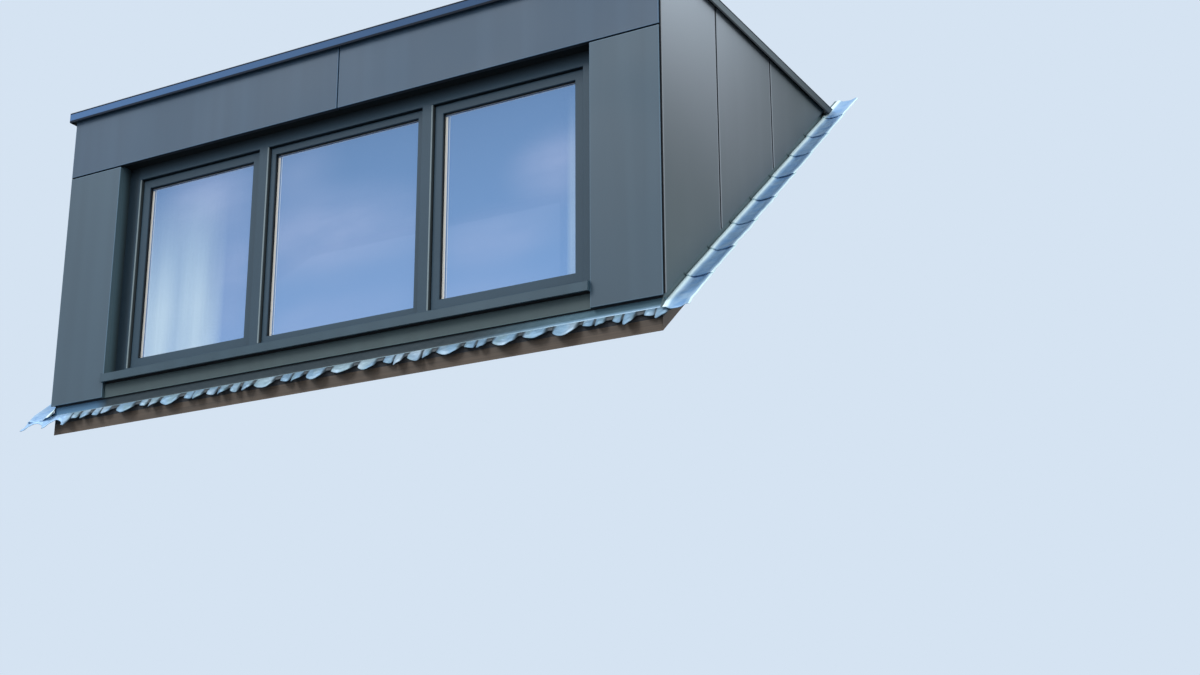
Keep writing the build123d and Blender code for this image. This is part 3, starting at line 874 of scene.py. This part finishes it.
class DORMER_OT_side_flashings(Operator):
    """Lap the side flashings up the slope, with a welt beside the wall and a raised edge"""
    bl_idname = "dormer.side_flashings"
    bl_label = "Side flashings"

    # Across the sheet from the wall to its outer edge: (distance, lift) in millimetres
    SECTION = ((3, 40), (6, 22), (14, 13), (22, 15), (30, 13), (38, 8), (46, 3), (54, 0.5),
               (76, 0.3), (98, 1), (112, 4), (124, 7), (132, 5), (139, 0.5))
    WELT = 30 * MM      # the section is stretched only outside this distance
    RIM = 1 * MM        # from its outer edge to the solid's outer side
    END = 0.12          # the upstand lies down in this length, at both ends of the wall
    LAID = 12 * MM      # and to this height
    STEPLESS = 42 * MM  # lift at which the step of a lap has run out
    CORNER = 14 * MM    # rounding of the corners of a length's foot

    def execute(self, context):
        material = side_finish()
        for side, sign in (("right", 1), ("left", -1)):
            self.lengths(side, sign, material)
        return {"FINISHED"}

    def lengths(self, side, sign, material):
        """One side's lapped lengths, joined in one object."""
        size = sizes()
        node = f"side_flashing_{side}"
        low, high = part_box(node)
        wall = min(abs(low.x), abs(high.x))
        start, up, normal = slope_frame()
        first = -size.flashing_lead
        last = (high.y - start.y) / up.y
        count = round((last - first) / size.flashing_course)
        course = (last - first) / count
        rng = random.Random(size.courses_seed + (0 if sign > 0 else 1))
        width = max(abs(low.x), abs(high.x)) - wall
        outermost = self.SECTION[-1][0] * MM
        wall_end = (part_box(f"cheek_panels_{side}")[1].y - start.y) / up.y
        stretch = (width - self.RIM - self.WELT) / (outermost - self.WELT)
        section = [Vector(point) * MM for point in self.SECTION]
        spans = len(section) - 1

        def profile(across):
            """Distance from the wall and lift on the unstretched section."""
            k = min(int(across * spans), spans - 1)
            return section[k].lerp(section[k + 1], across * spans - k)

        bm = new_bm()
        for index in range(count):
            lap = size.flashing_lap if index < count - 1 else 0
            dent = Vector((rng.uniform(0, 9), rng.uniform(0, 9), 0))
            skew = rng.uniform(-8, 8) * MM

            def place(across, along):
                out, lift = profile(across)
                if out > self.WELT:
                    out = self.WELT + (out - self.WELT) * stretch
                share = along * (course + lap) / course
                rise = size.flashing_step if index else -size.apron_drop * 0.7
                step = rise * (1 - smooth_step(share * (1 if index else 5)))
                distance = first + (index + share) * course
                laid = smooth_step((distance - wall_end) / self.END)
                laid = max(laid, 1 - smooth_step((distance - first) / self.END))
                lift -= max(0.0, lift - self.LAID) * laid
                rounded = self.CORNER * (2 * across - 1) ** 4
                distance += (1 - along) ** 6 * (skew * across + rounded)
                step *= 1 - lift / self.STEPLESS
                point = start + up * distance + normal * (lift + step)
                point.x = sign * (wall + out)
                loose = smooth_step((out - 20 * MM) / (30 * MM)) * (1 - 0.6 * lift / (16 * MM))
                dents = ripple(point + dent, 70, 3.2) + ripple(point, 25, 1.0)
                return point + normal * (dents * loose)

            sheet_of(bm, spans * 2, 22, place, lambda across, along: profile(across)[0])
        facing(bm, normal)
        made = piece(f"side_flashing_lengths_{side}", bm, material)
        thicken(made, size.sheet * 0.8)
        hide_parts(node)


def ring(bm, low, high, width, near, far):
    """Rectangular ring: a face between two corners, inset, opened and given its depth."""
    made = bmesh.ops.create_grid(bm, x_segments=1, y_segments=1, size=0.5)
    for vert in made["verts"]:
        vert.co = Vector((low.x + (vert.co.x + 0.5) * (high.x - low.x), near,
                          low.z + (vert.co.y + 0.5) * (high.z - low.z)))
    bm.normal_update()
    face = made["verts"][0].link_faces[0]
    rim = bmesh.ops.inset_region(bm, faces=[face], thickness=width, use_boundary=True,
                                 use_even_offset=True)["faces"]
    bmesh.ops.delete(bm, geom=[face], context="FACES_ONLY")
    drawn = bmesh.ops.extrude_face_region(bm, geom=rim, use_keep_orig=True)["geom"]
    bmesh.ops.translate(bm, verts=[v for v in drawn if isinstance(v, bmesh.types.BMVert)],
                        vec=(0, far - near, 0))
    bmesh.ops.recalc_face_normals(bm, faces=bm.faces)


class DORMER_OT_glazing(Operator):
    """Set a spacer ring inside each pane and a gasket round its outer face"""
    bl_idname = "dormer.glazing"
    bl_label = "Spacers and gaskets"

    def execute(self, context):
        size = sizes()
        plastic = moulded_plastic("warm_edge_spacer", shades().bead, 0.45)
        rubber = moulded_plastic("glazing_rubber", shades().rubber, 0.6)
        for side in ("left", "middle", "right"):
            low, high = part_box(f"glass_{side}")
            for name, material, inset, width, near, far in (
                    ("spacer", plastic, MM, size.spacer, low.y + 4 * MM, high.y - 4 * MM),
                    ("gasket", rubber, size.glass_edge, size.gasket,
                     low.y - 3 * MM, low.y - 0.2 * MM)):
                bm = new_bm()
                lap = Vector((1, 0, 1)) * inset
                ring(bm, low + lap, high - lap, width, near, far)
                piece(f"pane_{name}_{side}", bm, material, smooth=False)
        return {"FINISHED"}


class DORMER_OT_handles(Operator):
    """Put a lever handle on the room side of each opening light"""
    bl_idname = "dormer.handles"
    bl_label = "Window handles"

    def execute(self, context):
        material = moulded_plastic("white_coated_metal", shades().white_metal, 0.3)
        for side, sign in (("left", 1), ("right", -1)):
            low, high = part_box(f"sash_{side}")
            stile = (high.x if sign > 0 else low.x) - sign * 30 * MM
            bm = new_bm()
            self.lever(bm, Vector((stile, high.y, (low.z + high.z) / 2)))
            bmesh.ops.recalc_face_normals(bm, faces=bm.faces)
            piece(f"sash_handle_{side}", bm, material)
        return {"FINISHED"}

    def lever(self, bm, seat):
        """Rose, neck and grip, as three rounded shells."""
        turned = Matrix.Rotation(math.radians(90), 4, "X")
        grip_length = sizes().handle
        rose = self.rounded(bm, (28 * MM, 10 * MM, 66 * MM), 4 * MM)
        neck = bmesh.ops.create_cone(bm, cap_ends=True, segments=20, radius1=10 * MM,
                                     radius2=8 * MM, depth=30 * MM, matrix=turned)["verts"]
        grip = self.rounded(bm, (20 * MM, 13 * MM, grip_length), 5 * MM)
        for vert in grip:
            if vert.co.z < 0:
                vert.co.x *= 0.8
                vert.co.y += 8 * MM * vert.co.z / grip_length
        for shell, out, rise in ((rose, 5 * MM, 0), (neck, 25 * MM, 0),
                                 (grip, 42 * MM, 10 * MM - grip_length / 2)):
            bmesh.ops.translate(bm, verts=shell, vec=seat + Vector((0, out, rise)))

    def rounded(self, bm, size, radius):
        """Box with rounded edges about the origin; gives its vertices."""
        before = set(bm.verts)
        made = bmesh.ops.create_cube(bm, size=1)["verts"]
        bmesh.ops.scale(bm, vec=size, verts=made)
        edges = list({e for v in made for e in v.link_edges})
        bmesh.ops.bevel(bm, geom=edges, offset=radius, segments=4, profile=0.5,
                        affect="EDGES", material=-1)
        return [v for v in bm.verts if v not in before]


class DORMER_OT_curtains(Operator):
    """Hang the pleated nets from the rail"""
    bl_idname = "dormer.curtains"
    bl_label = "Net curtains"

    def execute(self, context):
        material = sheer_net(shades().net)
        for side, seed in (("left", 3), ("right", 4)):
            self.hang(side, material, random.Random(seed))
        return {"FINISHED"}

    def hang(self, side, material, rng):
        """One gathered net: tight pleats at the heading that open towards the hem."""
        node = f"net_curtain_{side}"
        low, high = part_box(node)
        width, height = high.x - low.x, high.z - low.z
        pleats = max(3, round(width / sizes().pleat))
        deep = (high.y - low.y) / 2 - 2 * MM
        columns = pleats * 14
        drift = [rng.uniform(-0.35, 0.35) for _ in range(pleats + 2)]
        scale = [rng.uniform(0.6, 1.0) for _ in range(pleats + 2)]

        def place(across, along):
            phase = across * pleats
            k = int(phase)
            swing, amount = (v[k] + (v[k + 1] - v[k]) * (phase - k) for v in (drift, scale))
            fall = 1 - along
            opened = 0.55 + 0.45 * smooth_step(fall * 1.6)
            turn = 2 * math.pi * (phase + 0.25 * swing * fall)
            y = (low.y + high.y) / 2 + deep * amount * opened * math.sin(turn)
            x = low.x + width * across + 6 * MM * math.sin(2 * turn) * opened
            point = Vector((min(high.x, max(low.x, x)), y, low.z + along * height))
            point.y += ripple(point, 250, 2.5)
            return point

        bm = new_bm()
        sheet_of(bm, columns, 36, place)
        facing(bm, Vector((0, -1, 0)))
        points = [place(i / columns, 0.4) for i in range(columns + 1)]
        flat_width = sum((b - a).length for a, b in zip(points, points[1:]))
        uv = bm.loops.layers.uv.active
        for face in bm.faces:
            for loop in face.loops:
                u, v = loop[uv].uv
                loop[uv].uv = (u * flat_width, v * height)
        made = piece(f"pleated_net_{side}", bm, material)
        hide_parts(node)


# Stage

class DORMER_OT_stage(Operator):
    """Floor, soft lamps, pale background and the camera of the view"""
    bl_idname = "dormer.stage"
    bl_label = "Stage"

    CAMERA_PLACE = (4.98612, -6.32953, -2.29317)
    CAMERA_TURN = (107.4585, 0.2943, 29.3570)
    FOCAL_PIXELS = 1742.361
    IMAGE_WIDTH = 1200
    SENSOR = 36.0

    def execute(self, context):
        self.floor()
        self.world(context.scene)
        self.lamps(context.scene)
        self.camera(context.scene)
        context.scene.view_settings.view_transform = "Standard"
        return {"FINISHED"}

    def floor(self):
        """Pale floor that shows the dormer's shadow and throws little light up."""
        shade = shades().floor
        material, tree, shader = finish("studio_floor", shade, 0.9)
        wear(shader, coat(tree, tinted(shade, 0.15), shade, self.seen(tree)))
        bm = bmesh.new()
        bmesh.ops.create_circle(bm, cap_ends=True, segments=96, radius=60)
        bmesh.ops.translate(bm, verts=bm.verts, vec=(0, 0, -sizes().floor_drop))
        mesh_object("studio_floor", bm, material)

    def seen(self, tree):
        """1 for what the camera sees, also in a mirror or through glass."""
        total = add(tree, "LightPath", out="Is Camera Ray")
        for name in ("Is Glossy Ray", "Is Transmission Ray"):
            total = add(tree, "Math", total, add(tree, "LightPath", out=name),
                        operation="MAXIMUM")
        return total

    def world(self, scene):
        """Soft dome that lights from above, and an even pale background."""
        world = bpy.data.worlds.new("soft_dome")
        world.use_nodes = True
        scene.world = world
        tree = world.node_tree
        tree.nodes.clear()
        up = add(tree, "SeparateXYZ", add(tree, "TexCoord", out="Generated"), out="Z")
        dome = add(tree, "MapRange", up, -0.12, 0.15, 0.08, 1.15)
        light = add(tree, "Background", linear("#F2F6FF"), dome)
        backdrop = add(tree, "Background", shades().backdrop, 1.0)
        add(tree, "OutputWorld", add(tree, "MixShader", self.seen(tree), light, backdrop))

    def lamps(self, scene):
        """Broad key from high on the left, and a wide, weaker fill from the right."""
        for name, energy, angle, direction in (
                ("key", 1.35, 24, Vector((-0.45, -0.6, 0.66))),
                ("fill", 0.95, 40, Vector((0.9, -0.22, 0.38)))):
            data = bpy.data.lights.new(name, "SUN")
            data.energy = energy
            data.angle = math.radians(angle)
            lamp = bpy.data.objects.new(name, data)
            lamp.rotation_euler = direction.to_track_quat("Z", "Y").to_euler()
            lamp.location = direction * 6
            scene.collection.objects.link(lamp)

    def camera(self, scene):
        """Camera at the angle of the view that the dormer was drawn from."""
        data = bpy.data.cameras.new("view")
        data.sensor_width = self.SENSOR
        data.lens = self.FOCAL_PIXELS / self.IMAGE_WIDTH * self.SENSOR
        camera = bpy.data.objects.new("view", data)
        camera.location = self.CAMERA_PLACE
        camera.rotation_euler = [math.radians(a) for a in self.CAMERA_TURN]
        scene.collection.objects.link(camera)
        scene.camera = camera


class DORMER_PT_panel(Panel):
    """Sizes, colours and steps of the dressing"""
    bl_idname = "DORMER_PT_panel"
    bl_label = "Box dormer"
    bl_space_type = "VIEW_3D"
    bl_region_type = "UI"
    bl_category = "Dormer"

    def draw(self, context):
        for group in (sizes(), shades()):
            box = self.layout.box()
            for name in group.__annotations__:
                box.prop(group, name)
        for step in STEPS:
            self.layout.operator(step.bl_idname)


STEPS = (DORMER_OT_metalwork, DORMER_OT_joinery, DORMER_OT_structure, DORMER_OT_apron,
         DORMER_OT_side_flashings, DORMER_OT_glazing, DORMER_OT_handles,
         DORMER_OT_curtains, DORMER_OT_stage)
CLASSES = (DormerColours, DormerSizes, *STEPS, DORMER_PT_panel)


def register():
    for cls in CLASSES:
        bpy.utils.register_class(cls)
    bpy.types.Scene.dormer_colours = PointerProperty(type=DormerColours)
    bpy.types.Scene.dormer_sizes = PointerProperty(type=DormerSizes)


def unregister():
    del bpy.types.Scene.dormer_sizes
    del bpy.types.Scene.dormer_colours
    for cls in reversed(CLASSES):
        bpy.utils.unregister_class(cls)


def main():
    """Run every step."""
    register()
    for step in STEPS:
        group, name = step.bl_idname.split(".")
        getattr(getattr(bpy.ops, group), name)()


if __name__ == "__main__":
    main()
